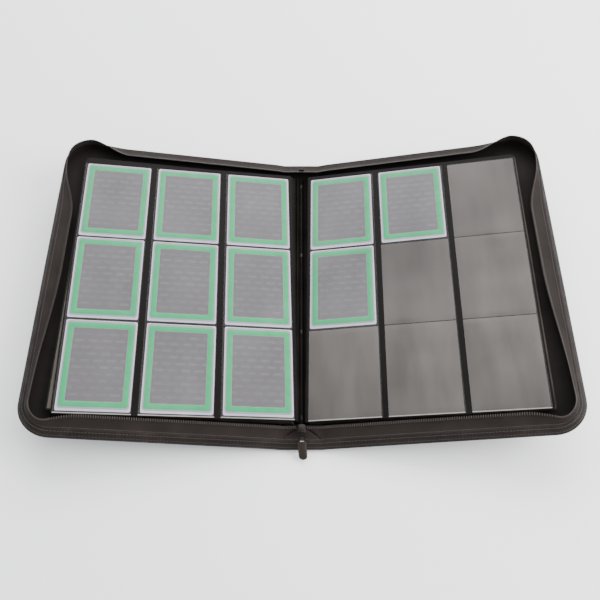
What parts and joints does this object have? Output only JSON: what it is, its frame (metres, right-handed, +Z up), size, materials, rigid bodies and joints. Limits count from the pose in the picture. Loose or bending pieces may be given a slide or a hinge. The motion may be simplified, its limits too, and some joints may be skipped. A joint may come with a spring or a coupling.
{
  "type": "zip-around trading card binder",
  "caption": "Zip-around card binder lying open on its spine: padded covers with a rounded zip edge, bound pocket pages holding sleeved cards, and a hinged zip pull.",
  "frame": {"origin": "centre of the flat underside of the spine, which the open binder rests on", "axes": "+X across the open binder from the left half to the right half, +Y from its lower edge to its upper edge, +Z up"},
  "size_m": [0.5114, 0.3438, 0.0652],
  "materials": {
    "cover_leather": "fine-grained matt leatherette, dark brown",
    "lining": "plain dark lining",
    "board": "grey-brown paperboard",
    "foam": "dark padding",
    "piping": "grey edge piping",
    "zipper_tape": "woven dark brown zipper tape",
    "zipper_teeth": "fine coil teeth",
    "page_backing": "black embossed polypropylene sheet",
    "pocket_film": "clear soft film with a broad sheen",
    "sleeved_card": null,
    "dark_metal": "dark coated metal",
    "pull_leather": "smooth dark brown"
  },
  "bodies": {
    "spine": {"binding_rivets": "dark_metal", "page_binding_strip": "page_backing", "spine_board": "board", "spine_edge_band": "cover_leather", "spine_lining": "lining", "spine_skin": "cover_leather", "spine_zipper_tape": "zipper_tape", "zipper_end_stop": "dark_metal", "zipper_slider": "dark_metal"},
    "left_cover": {"left_cover_skin": "cover_leather", "left_cover_board": "board", "left_cover_foam": "foam", "left_cover_lining": "lining", "left_edge_band": "cover_leather", "left_edge_piping": "piping", "left_zipper_tape": "zipper_tape", "left_zipper_teeth": "zipper_teeth"},
    "right_cover": {"right_cover_skin": "cover_leather", "right_cover_board": "board", "right_cover_foam": "foam", "right_cover_lining": "lining", "right_edge_band": "cover_leather", "right_edge_piping": "piping", "right_zipper_tape": "zipper_tape", "right_zipper_teeth": "zipper_teeth"},
    "left_pages": {"left_leaf_2": "page_backing", "left_leaf_3": "page_backing", "left_leaf_4": "page_backing", "left_leaf_5": "page_backing", "left_leaf_6": "page_backing", "left_leaf_7": "page_backing", "left_leaf_8": "page_backing", "left_leaf_9": "page_backing", "left_leaf_10": "page_backing"},
    "right_pages": {"right_leaf_2": "page_backing", "right_leaf_3": "page_backing", "right_leaf_4": "page_backing", "right_leaf_5": "page_backing", "right_leaf_6": "page_backing", "right_leaf_7": "page_backing", "right_leaf_8": "page_backing", "right_leaf_9": "page_backing", "right_leaf_10": "page_backing"},
    "left_top_leaf": {"left_back_pockets": "pocket_film", "left_front_pockets": "pocket_film", "left_lower_cards": "sleeved_card", "left_middle_cards": "sleeved_card", "left_top_leaf_sheet": "page_backing", "left_upper_cards": "sleeved_card"},
    "right_top_leaf": {"right_back_pockets": "pocket_film", "right_front_pockets": "pocket_film", "right_middle_cards": "sleeved_card", "right_top_leaf_sheet": "page_backing", "right_upper_cards": "sleeved_card"},
    "pull": {"pull_link": "dark_metal", "pull_tab": "pull_leather"}
  },
  "joints": [
    {"name": "left_cover_fold", "type": "hinge", "parent": "spine", "child": "left_cover", "pos_m": [-0.022, 0, 0.0026], "axis": [0, 1, 0], "range_deg": [-9.3, 80.7]},
    {"name": "right_cover_fold", "type": "hinge", "parent": "spine", "child": "right_cover", "pos_m": [0.022, 0, 0.0026], "axis": [0, -1, 0], "range_deg": [-11.15, 78.85]},
    {"name": "left_pages_follow", "type": "hinge", "parent": "spine", "child": "left_pages", "pos_m": [-0.0065, 0, 0.00712], "axis": [0, 1, 0], "range_deg": [-9.3, 80.7]},
    {"name": "right_pages_follow", "type": "hinge", "parent": "spine", "child": "right_pages", "pos_m": [0.0065, 0, 0.00712], "axis": [0, -1, 0], "range_deg": [-11.15, 78.85]},
    {"name": "left_top_leaf_turn", "type": "hinge", "parent": "left_pages", "child": "left_top_leaf", "pos_m": [0, 0, 0.0121], "axis": [0, -1, 0], "range_deg": [-158, 0]},
    {"name": "right_top_leaf_turn", "type": "hinge", "parent": "right_pages", "child": "right_top_leaf", "pos_m": [0, 0, 0.0121], "axis": [0, 1, 0], "range_deg": [-158, 0]},
    {"name": "pull_swing", "type": "hinge", "parent": "spine", "child": "pull", "pos_m": [0, -0.156, 0.0202], "axis": [1, 0, 0], "range_deg": [-148, 3]}
  ],
  "couplings": [
    {"joint": "left_pages_follow", "follows": "left_cover_fold", "ratio": 1},
    {"joint": "right_pages_follow", "follows": "right_cover_fold", "ratio": 1}
  ]
}
